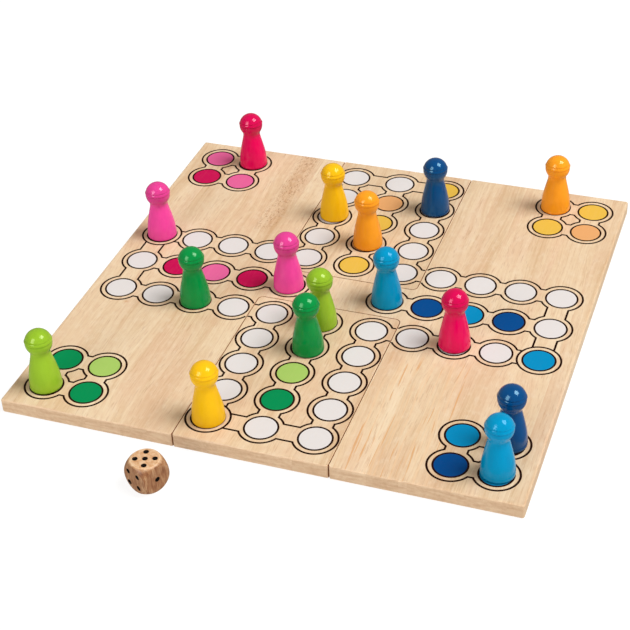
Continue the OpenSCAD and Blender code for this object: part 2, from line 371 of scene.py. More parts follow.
INK = {
    "white": ink("ink_white", (220, 216, 215), 0.05),
    "crimson": ink("ink_crimson", (194, 8, 80), 0.02),
    "pink": ink("ink_pink", (224, 98, 154)),
    "dark_green": ink("ink_dark_green", (0, 138, 80), 0.004),
    "light_green": ink("ink_light_green", (163, 198, 100), 0.04),
    "dark_blue": ink("ink_dark_blue", (0, 72, 138), 0.004),
    "light_blue": ink("ink_light_blue", (0, 138, 190), 0.004),
    "yellow": ink("ink_yellow", (226, 184, 72), 0.08),
    "orange": ink("ink_orange", (226, 166, 108), 0.08),
    "line": ink("ink_line", (34, 9, 3), 0.004),
}


def die_wood_material():
    g = Graph("die_wood")
    p = g.object_mm()
    x, y, z = g.split(p)
    swirl = g.noise(g.vec("MULTIPLY", p, (0.05, 0.05, 0.03)), 2.0, 0.5)
    q = g.join(g.math("ADD", x, g.math("MULTIPLY", swirl, 9.0)), y, g.math("MULTIPLY", z, 0.16))
    band = g.noise(g.vec("MULTIPLY", q, (0.34, 0.20, 0.35)), 3.0, 0.6)
    fibre = g.noise(g.vec("MULTIPLY", p, (1.8, 1.8, 0.10)), 2.0, 0.6)
    pore = g.remap(g.noise(g.vec("MULTIPLY", p, (2.1, 2.1, 0.42)), 1.0, 0.4), 0.60, 0.72)
    # wood grain and pores, in a brown kept darker than the top as painted shade on the sides
    col = g.ramp(g.math("ADD", g.math("MULTIPLY", band, 0.7), g.math("MULTIPLY", fibre, 0.3)), [
        (0.34, srgb(112, 66, 36)),
        (0.45, srgb(146, 94, 58)),
        (0.55, srgb(168, 120, 80)),
        (0.66, srgb(196, 154, 116)),
    ])
    col = g.mix(g.math("MULTIPLY", pore, 0.4), col, srgb(132, 84, 50))
    # painted light: the top and bottom faces lighter than the darker brown sides, as if lit from above, and a painted
    # highlight along the rounded rims, strongest round the top and bottom
    nx, ny, nz = g.split(g.normal())
    top = g.remap(g.math("ABSOLUTE", nz), 0.55, 0.95)
    tops = g.noise(g.vec("MULTIPLY", p, (0.30, 0.22, 0.2)), 3.0, 0.6)
    lit_top_col = g.ramp(tops, [(0.36, srgb(212, 160, 112)), (0.50, srgb(230, 186, 142)), (0.64, srgb(240, 208, 170))])
    col = g.mix(g.math("MULTIPLY", top, 0.80), col, lit_top_col)
    # painted highlight along the rounded rims
    biggest = g.math("MAXIMUM", g.math("MAXIMUM", g.math("ABSOLUTE", nx), g.math("ABSOLUTE", ny)), g.math("ABSOLUTE", nz))
    rim = g.math("MULTIPLY", g.remap(biggest, 0.90, 0.965), g.remap(biggest, 0.975, 0.998, 1.0, 0.0))
    rim = g.math("MULTIPLY", rim, g.remap(g.math("ABSOLUTE", nz), 0.5, 0.9, 0.28, 1.0))
    rim = g.math("MULTIPLY", rim, g.remap(fibre, 0.3, 0.7, 0.40, 0.75))
    col = g.mix(rim, col, srgb(244, 210, 168))
    g.set(Base_Color=col, Roughness=g.remap(fibre, 0.3, 0.7, 0.34, 0.50), Specular_IOR_Level=0.42)
    g.set(Normal=g.bump(g.math("SUBTRACT", g.math("MULTIPLY", fibre, 0.5), pore), 0.25, 0.12))
    return g.mat


DIE_WOOD = die_wood_material()


def pip_material():
    g = Graph("pip_black")
    p = g.object_mm()
    n = g.noise(g.vec("MULTIPLY", p, (0.9, 0.9, 0.9)), 2.0, 0.5)
    g.set(Base_Color=g.ramp(n, [(0.35, srgb(10, 7, 5)), (0.75, srgb(26, 18, 13))]))
    g.set(Roughness=g.remap(n, 0.3, 0.7, 0.46, 0.60), Specular_IOR_Level=0.06)
    g.set(Normal=g.bump(n, 0.2, 0.1))
    return g.mat


PIP_BLACK = pip_material()


def dowel_material():
    g = Graph("dowel_beech")
    p = g.object_mm()
    grain = g.noise(g.vec("MULTIPLY", p, (1.3, 1.3, 0.06)), 3.0, 0.6)
    fleck = g.remap(g.noise(g.vec("MULTIPLY", p, (2.0, 2.0, 0.5)), 1.0, 0.4), 0.60, 0.72)
    col = g.ramp(grain, [(0.3, srgb(190, 146, 100)), (0.7, srgb(220, 182, 136))])
    nx, ny, nz = g.split(g.normal())
    col = g.mix(g.remap(g.math("ABSOLUTE", nz), 0.5, 0.9, 0.0, 0.45), col, srgb(176, 130, 88))
    col = g.mix(g.math("MULTIPLY", fleck, 0.35), col, srgb(150, 104, 66))
    g.set(Base_Color=col, Roughness=g.remap(grain, 0.3, 0.7, 0.52, 0.66), Specular_IOR_Level=0.3)
    g.set(Normal=g.bump(grain, 0.25, 0.1))
    return g.mat


DOWEL_WOOD = dowel_material()


# ---------------------------------------------------------------- mesh helpers

def make_object(name, verts, faces, materials, face_mat=None):
    me = bpy.data.meshes.new(name)
    me.from_pydata([(x * MM, y * MM, z * MM) for x, y, z in verts], [], faces)
    for m in materials:
        me.materials.append(m)
    if face_mat:
        me.polygons.foreach_set("material_index", face_mat)
    me.update()
    ob = bpy.data.objects.new(name, me)
    scene.collection.objects.link(ob)
    return ob


def smooth(ob, degrees=35.0, weighted=True):
    me = ob.data
    me.polygons.foreach_set("use_smooth", [True] * len(me.polygons))
    me.set_sharp_from_angle(angle=math.radians(degrees))
    if weighted:
        w = ob.modifiers.new("weighted", "WEIGHTED_NORMAL")
        w.mode, w.weight, w.keep_sharp = "FACE_AREA", 60, True
    me.update()


def loop_points(corners, arc=6):
    """Points round an outline: (x, y, inward normal x, inward normal y, ease, fillet radius of a convex corner or 1e9).
    corners are (x, y, fillet radius, ease of the edge that leaves the corner), counter-clockwise."""
    pts = []
    n = len(corners)
    for i, (x, y, r, ease) in enumerate(corners):
        px, py, _, ease_in = corners[i - 1]
        qx, qy = corners[(i + 1) % n][:2]
        a = Vector((x - px, y - py)).normalized()
        b = Vector((qx - x, qy - y)).normalized()
        convex = a.x * b.y - a.y * b.x > 0
        na = Vector((-a.y, a.x))
        side = 1.0 if convex else -1.0
        start = Vector((x, y)) - a * r
        centre = start + na * r * side
        ang0 = math.atan2(start.y - centre.y, start.x - centre.x)
        for k in range(arc + 1):
            t = k / arc
            ang = ang0 + side * t * math.pi / 2
            d = Vector((math.cos(ang), math.sin(ang)))
            p = centre + d * r
            inward = -d * side
            e = ease_in + (ease - ease_in) * t
            pts.append((p.x, p.y, inward.x, inward.y, e, r if convex else 1e9))
        # a few points along the straight edge, so that no face is a long needle
        end = Vector((qx, qy)) - b * corners[(i + 1) % n][2]
        begin = Vector((x, y)) + b * r
        length = (end - begin).length
        steps = max(1, int(length / 24))
        nb = Vector((-b.y, b.x))
        for k in range(1, steps):
            p = begin + b * (length * k / steps)
            pts.append((p.x, p.y, nb.x, nb.y, ease, 1e9))
    return pts


def slab(name, corners, z1, materials, seam_ease, arc=6, turn=6):
    """A closed board: rings from the bottom edge to the top edge, eased as each edge asks, and two caps."""
    pts = loop_points(corners, arc)
    n = len(pts)
    rings = []

    def ring(f):
        rings.append([f(*p) for p in pts])

    def low(e):
        return 0.02 if e <= seam_ease * 1.01 else e

    def inner(a, r):
        return min(a, r - 0.04)

    ring(lambda x, y, nx, ny, e, r: (x + nx * inner(low(e) + 0.35, r), y + ny * inner(low(e) + 0.35, r), 0.0))
    for k in range(turn + 1):
        a = math.pi / 2 * k / turn
        ring(lambda x, y, nx, ny, e, r: (x + nx * low(e) * (1 - math.sin(a)), y + ny * low(e) * (1 - math.sin(a)), low(e) * (1 - math.cos(a))))
    for k in range(turn + 1):
        a = math.pi / 2 * k / turn
        ring(lambda x, y, nx, ny, e, r: (x + nx * e * (1 - math.cos(a)), y + ny * e * (1 - math.cos(a)), z1 - e * (1 - math.sin(a))))
    ring(lambda x, y, nx, ny, e, r: (x + nx * inner(e + 0.35, r), y + ny * inner(e + 0.35, r), z1))
    verts = [v for r in rings for v in r]
    faces, mats = [], []
    walls = turn + 1
    for j in range(len(rings) - 1):
        for i in range(n):
            k = (i + 1) % n
            faces.append((j * n + i, j * n + k, (j + 1) * n + k, (j + 1) * n + i))
            # seam walls and the eased top edge beside them take material 1, the painted seam shade
            seam = max(pts[i][4], pts[k][4]) <= seam_ease + 0.36 * (EASE_OUT - seam_ease)
            mats.append(1 if seam and walls <= j <= walls + 4 else 0)
    faces.append(tuple(reversed(range(n))))
    mats.append(0)
    faces.append(tuple((len(rings) - 1) * n + i for i in range(n)))
    mats.append(0)
    return make_object(name, verts, faces, materials, mats)


def prism(name, outline, z0, z1, materials=()):
    n = len(outline)
    verts = [(x, y, z0) for x, y in outline] + [(x, y, z1) for x, y in outline]
    faces = [(i, (i + 1) % n, n + (i + 1) % n, n + i) for i in range(n)]
    faces += [tuple(reversed(range(n))), tuple(range(n, 2 * n))]
    return make_object(name, verts, faces, list(materials))


def cylinder_outline(x, y, r, n=48):
    return [(x + r * math.cos(2 * math.pi * i / n), y + r * math.sin(2 * math.pi * i / n)) for i in range(n)]


def boolean(ob, other, how):
    m = ob.modifiers.new("cut", "BOOLEAN")
    m.operation, m.solver, m.object = how, "EXACT", other
    dg = bpy.context.evaluated_depsgraph_get()
    new = bpy.data.meshes.new_from_object(ob.evaluated_get(dg))
    ob.modifiers.clear()
    old = ob.data
    ob.data = new
    name = old.name
    bpy.data.meshes.remove(old)
    new.name = name
    bpy.data.objects.remove(other, do_unlink=True)


def tidy(ob):
    bm = bmesh.new()
    bm.from_mesh(ob.data)
    bmesh.ops.remove_doubles(bm, verts=bm.verts, dist=2e-7)
    bmesh.ops.dissolve_degenerate(bm, dist=2e-7, edges=bm.edges)
    # loose edges that the merge left behind
    for e in [e for e in bm.edges if not e.link_faces]:
        bm.edges.remove(e)
    for v in [v for v in bm.verts if not v.link_edges]:
        bm.verts.remove(v)
    open_edges = sum(1 for e in bm.edges if len(e.link_faces) != 2)
    bm.to_mesh(ob.data)
    bm.free()
    print(ob.name, "vertices", len(ob.data.vertices), "open edges", open_edges)


def turned(profile, n=72, flute=None):
    """Verts and faces of a lathe turning closed on the axis at both ends. profile is (r, z), bottom to top."""
    verts, faces = [], []
    rings = []
    for r, z in profile:
        if r < 1e-6:
            rings.append([len(verts)])
            verts.append((0.0, 0.0, z))
        else:
            ids = []
            for i in range(n):
                a = 2 * math.pi * i / n
                q = r * (flute(a, z) if flute else 1.0)
                ids.append(len(verts))
                verts.append((q * math.cos(a), q * math.sin(a), z))
            rings.append(ids)
    for a, b in zip(rings, rings[1:]):
        for i in range(n):
            k = (i + 1) % n
            if len(a) == 1:
                faces.append((a[0], b[k], b[i]))
            elif len(b) == 1:
                faces.append((a[i], a[k], b[0]))
            else:
                faces.append((a[i], a[k], b[k], b[i]))
    return verts, faces


def spline(points, steps=6):
    """Catmull-Rom through (r, z) points."""
    out = []
    p = [points[0]] + list(points) + [points[-1]]
    for i in range(1, len(p) - 2):
        for k in range(steps):
            t = k / steps
            row = []
            for d in range(2):
                a, b, c, e = p[i - 1][d], p[i][d], p[i + 1][d], p[i + 2][d]
                row.append(0.5 * (2 * b + (c - a) * t + (2 * a - 5 * b + 4 * c - e) * t * t + (3 * b - a - 3 * c + e) * t ** 3))
            out.append(tuple(row))
    out.append(points[-1])
    return out


# ---------------------------------------------------------------- boards

def fillet_points(corners, n=8):
    """Plain outline points with rounded corners: (x, y, r)."""
    return [(p[0], p[1]) for p in loop_points([(x, y, max(r, 0.01), 0.0) for x, y, r in corners], n)]


def make_main_board():
    e, s = EASE_OUT, EASE_SEAM
    H, A, B = HALF, ARM_HALF, BAR_HALF
    corners = [
        (-H, -H, CORNER_R, e), (-A, -H, CORNER_R, s), (-A, -B, INNER_R, s), (A, -B, INNER_R, s), (A, -H, CORNER_R, e),
        (H, -H, CORNER_R, e), (H, H, CORNER_R, e), (A, H, CORNER_R, s), (A, B, INNER_R, s), (-A, B, INNER_R, s),
        (-A, H, CORNER_R, e), (-H, H, CORNER_R, e),
    ]
    ob = slab("board_main", corners, THICK, [WOOD_MAIN, WOOD_SEAM_SHADE], s)
    for side in (1, -1):
        y0, y1 = BAR_HALF - 1.0, HALF - SHELF_STOP
        xo, xi = ARM_HALF + 1.0, ARM_HALF - SHELF_W
        yi = BAR_HALF + SHELF_BAR
        u = [(-xo, y0, 0), (xo, y0, 0), (xo, y1, 0), (xi, y1, 0), (xi, yi, INNER_R), (-xi, yi, INNER_R), (-xi, y1, 0), (-xo, y1, 0)]
        pts = fillet_points(u)
        if side < 0:
            pts = [(-x, -y) for x, y in pts]
        boolean(ob, prism("shelf", pts, 0.0, SHELF_T, [WOOD_MAIN]), "UNION")
    for x in (-DOWEL_X, DOWEL_X):
        for y in (-DOWEL_Y, DOWEL_Y):
            boolean(ob, prism("hole", cylinder_outline(x, y, DOWEL_R + 0.02), SHELF_T - DOWEL_IN, SHELF_T + 1.0, [WOOD_SEAM_SHADE]), "DIFFERENCE")
    tidy(ob)
    smooth(ob)
    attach(ob, "board")
    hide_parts("main_board")


def make_panel(name, node, body, material, side):
    e, s = EASE_OUT, EASE_SEAM
    A, B = ARM_HALF - SEAM, BAR_HALF + SEAM
    corners = [(-A, B, INNER_R - SEAM, s), (A, B, INNER_R - SEAM, s), (A, HALF, CORNER_R, e), (-A, HALF, CORNER_R, s)]
    if side < 0:
        corners = [(-x, -y, r, q) for x, y, r, q in corners]
    ob = slab(name, corners, THICK, [material, WOOD_SEAM_SHADE], s)
    y0, y1 = BAR_HALF - 1.0, HALF - SHELF_STOP + SEAM
    xo, xi = ARM_HALF + 1.0, ARM_HALF - SHELF_W - SEAM
    yi = BAR_HALF + SHELF_BAR + SEAM
    u = [(-xo, y0, 0), (xo, y0, 0), (xo, y1, 0), (xi, y1, 0), (xi, yi, INNER_R - SEAM), (-xi, yi, INNER_R - SEAM), (-xi, y1, 0), (-xo, y1, 0)]
    pts = fillet_points(u)
    if side < 0:
        pts = [(-x, -y) for x, y in pts]
    boolean(ob, prism("rebate", pts, -1.0, SHELF_T + SHELF_GAP, [material]), "DIFFERENCE")
    for x in (-DOWEL_X, DOWEL_X):
        boolean(ob, prism("hole", cylinder_outline(x, side * DOWEL_Y, DOWEL_R + DOWEL_FIT), SHELF_T - 1.0, SHELF_T + DOWEL_UP + 0.4, [WOOD_SEAM_SHADE]), "DIFFERENCE")
    tidy(ob)
    smooth(ob)
    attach(ob, body)
    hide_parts(node)


make_main_board()
make_panel("arm_panel_front", "front_arm_panel", "front_arm", WOOD_FRONT, -1)
make_panel("arm_panel_back", "back_arm_panel", "back_arm", WOOD_BACK, 1)


def make_dowels():
    names = {(-1, -1): "dowel_front_left", (1, -1): "dowel_front_right", (-1, 1): "dowel_back_left", (1, 1): "dowel_back_right"}
    z0, z1 = SHELF_T - DOWEL_IN, SHELF_T + DOWEL_UP
    R = DOWEL_R - 0.01
    profile = [(0, z0), (R - 0.5, z0), (R - 0.12, z0 + 0.25), (R, z0 + 0.6)]
    steps = 10
    profile += [(R, z0 + 0.6 + (z1 - z0 - 1.5) * k / steps) for k in range(1, steps + 1)]
    profile += [(R - 0.12, z1 - 0.62), (R - 0.42, z1 - 0.26), (R - 0.86, z1 - 0.04), (R - 1.1, z1), (0, z1)]

    def flute(a, z):
        inside = min(1.0, max(0.0, (z - z0 - 0.4) / 0.6)) * min(1.0, max(0.0, (z1 - 0.9 - z) / 0.6))
        return 1.0 - 0.035 * inside * max(0.0, math.cos(14 * a)) ** 2

    for (sx, sy), node in names.items():
        verts, faces = turned(profile, 112, flute)
        ob = make_object("pin_" + node[6:], verts, faces, [DOWEL_WOOD])
        ob.location = (sx * DOWEL_X * MM, sy * DOWEL_Y * MM, 0.0)
        smooth(ob, 40.0)
        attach(ob, "board")
        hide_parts(node)


make_dowels()


# ---------------------------------------------------------------- printed track

def along(i):
    return 0.0 if i == 5 else math.copysign(CROSS + (abs(i - 5) - 1) * PITCH, i - 5)


def home(i):
    return {0: -HOME_OUT, 1: -HOME_OUT + HOME_PITCH, 9: HOME_OUT - HOME_PITCH, 10: HOME_OUT}[i]


LOOP = [(0, 4), (1, 4), (2, 4), (3, 4), (4, 4), (4, 3), (4, 2), (4, 1), (4, 0), (5, 0),
        (6, 0), (6, 1), (6, 2), (6, 3), (6, 4), (7, 4), (8, 4), (9, 4), (10, 4), (10, 5),
        (10, 6), (9, 6), (8, 6), (7, 6), (6, 6), (6, 7), (6, 8), (6, 9), (6, 10), (5, 10),
        (4, 10), (4, 9), (4, 8), (4, 7), (4, 6), (3, 6), (2, 6), (1, 6), (0, 6), (0, 5)]
LANES = {
    (1, 5): "crimson", (2, 5): "pink", (3, 5): "crimson", (4, 5): "pink",
    (5, 1): "dark_green", (5, 2): "light_green", (5, 3): "dark_green", (5, 4): "light_green",
    (9, 5): "dark_blue", (8, 5): "light_blue", (7, 5): "dark_blue", (6, 5): "light_blue",
    (5, 9): "orange", (5, 8): "yellow", (5, 7): "orange", (5, 6): "yellow",
}
STARTS = {(0, 6): "pink", (4, 0): "light_green", (10, 4): "light_blue", (6, 10): "yellow"}
HOMES = {
    (0, 10): "pink", (1, 10): "crimson", (0, 9): "crimson", (1, 9): "pink",
    (0, 0): "light_green", (1, 0): "dark_green", (0, 1): "dark_green", (1, 1): "light_green",
    (9, 1): "light_blue", (9, 0): "dark_blue", (10, 0): "light_blue", (10, 1): "dark_blue",
    (9, 10): "orange", (10, 10): "yellow", (9, 9): "yellow", (10, 9): "orange",
}

FIELD_R, RING_R, RING_W = 15.0, 15.65, 1.95
OUT_R, NECK, LINE_W = 20.9, 10.4, 2.05
INK_LOW, INK_TOP = THICK - 0.08, THICK + 0.05


def body_at(x, y):
    if abs(x) < ARM_HALF and y > BAR_HALF:
        return "back_arm"
    if abs(x) < ARM_HALF and y < -BAR_HALF:
        return "front_arm"
    return "board"


fields = {}
places = {}
links = []
for k, f in enumerate(LOOP):
    places[("t", f)] = (along(f[0]), along(f[1]))
    fields[("t", f)] = STARTS.get(f, "white")
    links.append((("t", f), ("t", LOOP[(k + 1) % len(LOOP)])))
for f, c in LANES.items():
    places[("t", f)] = (along(f[0]), along(f[1]))
    fields[("t", f)] = c
for a, b in (((0, 5), (1, 5)), ((10, 5), (9, 5)), ((5, 0), (5, 1)), ((5, 10), (5, 9))):
    d = (b[0] - a[0], b[1] - a[1])
    for k in range(4):
        links.append((("t", (a[0] + d[0] * k, a[1] + d[1] * k)), ("t", (a[0] + d[0] * (k + 1), a[1] + d[1] * (k + 1)))))
for f, c in HOMES.items():
    places[("h", f)] = (home(f[0]), home(f[1]))
    fields[("h", f)] = c
for i0, j0 in ((0, 0), (9, 0), (0, 9), (9, 9)):
    for a, b in (((0, 0), (1, 0)), ((0, 1), (1, 1)), ((0, 0), (0, 1)), ((1, 0), (1, 1))):
        links.append((("h", (i0 + a[0], j0 + a[1])), ("h", (i0 + b[0], j0 + b[1]))))


class Shapes:
    """Collects thin closed shapes of one ink on one body."""

    def __init__(self):
        self.verts, self.faces = [], []

    def disc(self, x, y, r, n=72, top=INK_TOP, low=INK_LOW):
        base = len(self.verts)
        for q, z in ((r, low), (r, top - 0.02), (r - 0.03, top)):
            self.verts += [(x + q * math.cos(2 * math.pi * i / n), y + q * math.sin(2 * math.pi * i / n), z) for i in range(n)]
        for j in range(2):
            for i in range(n):
                k = (i + 1) % n
                self.faces.append((base + j * n + i, base + j * n + k, base + (j + 1) * n + k, base + (j + 1) * n + i))
        self.faces.append(tuple(base + i for i in reversed(range(n))))
        self.faces.append(tuple(base + 2 * n + i for i in range(n)))

    def ribbon(self, pts, width, closed, top=INK_TOP, low=INK_LOW):
        n = len(pts)
        base = len(self.verts)
        for i, p in enumerate(pts):
            p = Vector(p)
            a = Vector(pts[i - 1]) if (i or closed) else None
            b = Vector(pts[(i + 1) % n]) if (i < n - 1 or closed) else None
            da = (p - a).normalized() if a is not None else (b - p).normalized()
            db = (b - p).normalized() if b is not None else da
            t = (da + db).normalized()
            m = Vector((-t.y, t.x))
            h = width / 2 / max(0.5, m.dot(Vector((-da.y, da.x))))
            l, r = p + m * h, p - m * h
            self.verts += [(l.x, l.y, top), (r.x, r.y, top), (r.x, r.y, low), (l.x, l.y, low)]
        last = n if closed else n - 1
        for i in range(last):
            a, b = base + 4 * i, base + 4 * ((i + 1) % n)
            for j in range(4):
                k = (j + 1) % 4
                self.faces.append((a + j, a + k, b + k, b + j))
        if not closed:
            self.faces.append((base + 3, base + 2, base + 1, base))
            e = base + 4 * (n - 1)
            self.faces.append((e, e + 1, e + 2, e + 3))


prints = {}


def shapes(body, colour):
    return prints.setdefault((body, colour), Shapes())


def clip(pts):
    """Cuts a polyline where it leaves its board, and gives the pieces with their bodies."""
    gap_in, gap_out = SEAM + EASE_SEAM + 0.05, EASE_SEAM + 0.45

    def zone(p):
        x, y = abs(p[0]), abs(p[1])
        if y > BAR_HALF:
            if x < ARM_HALF - gap_in:
                return "back_arm" if p[1] > 0 else "front_arm"
            return "board" if x > ARM_HALF + gap_out else None
        return "board"

    fine = []
    for a, b in zip(pts, pts[1:]):
        steps = max(1, int(math.dist(a, b) / 0.25))
        near = abs(abs(a[0]) - ARM_HALF) < 8 or abs(abs(b[0]) - ARM_HALF) < 8
        for k in range(steps if near else 1):
            t = k / (steps if near else 1)
            fine.append((a[0] + (b[0] - a[0]) * t, a[1] + (b[1] - a[1]) * t))
    fine.append(pts[-1])
    out, run, now = [], [], None
    for p in fine:
        zn = zone(p)
        if zn != now:
            if len(run) > 1:
                out.append((now, run))
            run, now = [], zn
        if zn:
            run.append(p)
    if len(run) > 1:
        out.append((now, run))
    return out


def straighten(pts):
    """Drops points that lie on a straight line between their neighbours."""
    keep = [pts[0]]
    for i in range(1, len(pts) - 1):
        a, b, c = Vector(keep[-1]), Vector(pts[i]), Vector(pts[i + 1])
        if (b - a).length < 1e-6:
            continue
        if abs((b - a).normalized().cross((c - b).normalized())) > 1e-3 if (c - b).length > 1e-6 else False:
            keep.append(pts[i])
    keep.append(pts[-1])
    return keep


def draw_outlines():
    half = math.asin(NECK / OUT_R)
    reach = OUT_R * math.cos(half)
    turns = {k: [] for k in places}
    pieces = []
    for a, b in links:
        pa, pb = Vector(places[a]), Vector(places[b])
        d = (pb - pa).normalized()
        turns[a].append(math.atan2(d.y, d.x))
        turns[b].append(math.atan2(-d.y, -d.x))
        nrm = Vector((-d.y, d.x))
        for s in (-NECK, NECK):
            p, q = pa + d * reach + nrm * s, pb - d * reach + nrm * s
            pieces.append([tuple(p), tuple(q)])
    rings = []
    for k, angs in turns.items():
        cx, cy = places[k]
        if k[0] == "t" and k[1] in STARTS:
            rings.append((cx, cy))
            continue
        angs = sorted(a % (2 * math.pi) for a in angs)
        for i, a in enumerate(angs):
            b = angs[(i + 1) % len(angs)]
            if b <= a:
                b += 2 * math.pi
            a0, b0 = a + half, b - half
            n = max(2, int((b0 - a0) / math.radians(4.5)))
            pieces.append([(cx + OUT_R * math.cos(a0 + (b0 - a0) * j / n), cy + OUT_R * math.sin(a0 + (b0 - a0) * j / n)) for j in range(n + 1)])
    # chain the pieces end to end
    chains = []
    left = [list(p) for p in pieces]
    while left:
        run = left.pop()
        grown = True
        while grown:
            grown = False
            for i, p in enumerate(left):
                if math.dist(run[-1], p[0]) < 1e-3:
                    run += p[1:]
                elif math.dist(run[-1], p[-1]) < 1e-3:
                    run += p[-2::-1]
                elif math.dist(run[0], p[-1]) < 1e-3:
                    run = p[:-1] + run
                elif math.dist(run[0], p[0]) < 1e-3:
                    run = p[:0:-1] + run
                else:
                    continue
                left.pop(i)
                grown = True
                break
        chains.append(run)
    for run in chains:
        closed = math.dist(run[0], run[-1]) < 1e-3
        cuts = clip(run)
        if closed and len(cuts) == 1 and len(run) > 3:
            shapes(cuts[0][0], "line").ribbon(straighten(run)[:-1], LINE_W, True)
            continue
        if closed and len(cuts) > 1 and cuts[0][0] == cuts[-1][0] and math.dist(cuts[0][1][0], cuts[-1][1][-1]) < 1e-3:
            cuts[0] = (cuts[0][0], cuts[-1][1][:-1] + cuts[0][1])
            cuts.pop()
        for body, pts in cuts:
            shapes(body, "line").ribbon(straighten(pts), LINE_W, False)
    for cx, cy in rings:
        n = 90
        pts = [(cx + OUT_R * math.cos(2 * math.pi * i / n), cy + OUT_R * math.sin(2 * math.pi * i / n)) for i in range(n)]
        shapes(body_at(cx, cy), "line").ribbon(pts, LINE_W, True, INK_TOP + 0.004)


def draw_fields():
    n = 72
    for k, colour in fields.items():
        x, y = places[k]
        body = body_at(x, y)
        shapes(body, colour).disc(x, y, FIELD_R, n, INK_TOP - 0.012)
        ring = [(x + RING_R * math.cos(2 * math.pi * i / n), y + RING_R * math.sin(2 * math.pi * i / n)) for i in range(n)]
        shapes(body, "line").ribbon(ring, RING_W, True)


draw_outlines()
draw_fields()
for (body, colour), s in sorted(prints.items()):
    what = "lines" if colour == "line" else colour + "_fields"
    ob = make_object("print_" + what + "_" + body, s.verts, s.faces, [INK[colour]])
    ob.data.polygons.foreach_set("use_smooth", [False] * len(ob.data.polygons))
    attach(ob, body)


# ---------------------------------------------------------------- pawns

def pawn_profile():
    """Foot, flared body, slim neck, and a round head with a narrow belt where the two cuts of the lathe meet."""
    rho, neck, low_r = 7.0, 9.5, 12.95
    dz = math.sqrt((low_r + rho) ** 2 - (neck + rho) ** 2)
    cr, cz = neck + rho, HEAD_Z - dz
    pts = [(0.0, 0.0), (6.0, 0.0), (12.0, 0.0), (14.0, 0.0)]
    for k in range(1, 7):
        a = math.radians(-90 + 90 * k / 6)
        pts.append((14.0 + 1.68 * math.cos(a), 1.68 + 1.68 * math.sin(a)))
    body = spline([(15.68, 1.68), (15.48, 5.6), (14.75, 13.8), (13.15, 22.2), (11.35, 30.0), (10.05, 35.4), (9.62, 38.0), (neck, cz)], 5)
    pts += body[1:]
    a0, a1 = math.pi, math.atan2(HEAD_Z - cz, -cr)
    for k in range(1, 10):
        a = a0 + (a1 - a0) * k / 9
        pts.append((cr + rho * math.cos(a), cz + rho * math.sin(a)))
    start, stop = math.atan2(cz - HEAD_Z, cr), math.asin(BELT_LOW / low_r)
    for k in range(1, 11):
        a = start + (stop - start) * k / 10
        pts.append((low_r * math.cos(a), HEAD_Z + low_r * math.sin(a)))
    # the belt: a small step out, a band that leans back a little, and a fine groove above it
    top_r, top_z = 13.15, HEAD_Z + 0.05
    r_low = math.sqrt(low_r ** 2 - BELT_LOW ** 2)
    r_top = math.sqrt(top_r ** 2 - (BELT_TOP - 0.05) ** 2)
    for r, h in ((r_low + 0.12, 0.04), (r_low + 0.27, 0.18), (r_low + 0.37, 0.40), (r_low + 0.42, 0.70)):
        pts.append((r, HEAD_Z + BELT_LOW + h))
    for r, h in ((0.58, -1.70), (0.42, -1.30), (0.24, -1.02), (0.07, -0.82), (-0.05, -0.64), (-0.10, -0.46), (-0.09, -0.26), (-0.03, -0.08)):
        pts.append((r_top + r, HEAD_Z + BELT_TOP + h))
    start = math.asin((BELT_TOP - 0.05) / top_r)
    steps = 22
    for k in range(steps):
        a = start + (math.pi / 2 - start) * k / steps
        pts.append((top_r * math.cos(a), top_z + top_r * math.sin(a)))
    pts.append((0.0, top_z + top_r))
    return pts


PAWNS = {
    "pawn_crimson_home": (home(1) + 0.7, home(10) + 0.2, "crimson"),
    "pawn_crimson_track": (along(8) + 0.2, along(4) + 1.5, "crimson"),
    "pawn_pink_start": (along(0) + 0.5, along(6) - 0.1, "pink"),
    "pawn_pink_crossbar": (along(4) - 0.1, along(5) - 2.4, "pink"),
    "pawn_light_green_home": (home(0) - 0.4, home(0) - 0.1, "light_green"),
    "pawn_light_green_track": (along(5) + 0.9, along(4) - 1.3, "light_green"),
    "pawn_dark_green_track": (along(2) + 0.8, along(4) - 0.7, "dark_green"),
    "pawn_dark_green_lane": (along(5) + 2.1, along(3) - 2.5, "dark_green"),
    "pawn_yellow_back": (along(4) + 1.9, along(8) + 2.4, "yellow"),
    "pawn_yellow_front": (along(4) + 1.2, along(0) - 1.0, "yellow"),
    "pawn_orange_lane": (along(5) + 1.9, along(7) + 0.5, "orange"),
    "pawn_orange_home": (home(9) + 0.1, home(10) - 1.6, "orange"),
    "pawn_dark_blue_track": (along(6) + 0.4, along(9) + 0.4, "dark_blue"),
    "pawn_dark_blue_home": (home(10) + 1.7, home(1) + 1.9, "dark_blue"),
    "pawn_light_blue_crossbar": (along(6) + 0.1, along(5) - 0.7, "light_blue"),
    "pawn_light_blue_home": (home(10) + 0.6, home(0) + 2.1, "light_blue"),
}


def make_pawns():
    verts, faces = turned(pawn_profile(), 80)
    for i, (node, (x, y, colour)) in enumerate(PAWNS.items()):
        ob = make_object("turned_" + node, verts, faces, [PAINT[colour]])
        ob.rotation_euler = (0.0, 0.0, math.radians(137.5 * i % 360))
        ob.location = (x * MM, y * MM, THICK * MM)
        smooth(ob, 60.0, False)
        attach(ob, node)
        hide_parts(node)


make_pawns()


# ---------------------------------------------------------------- die

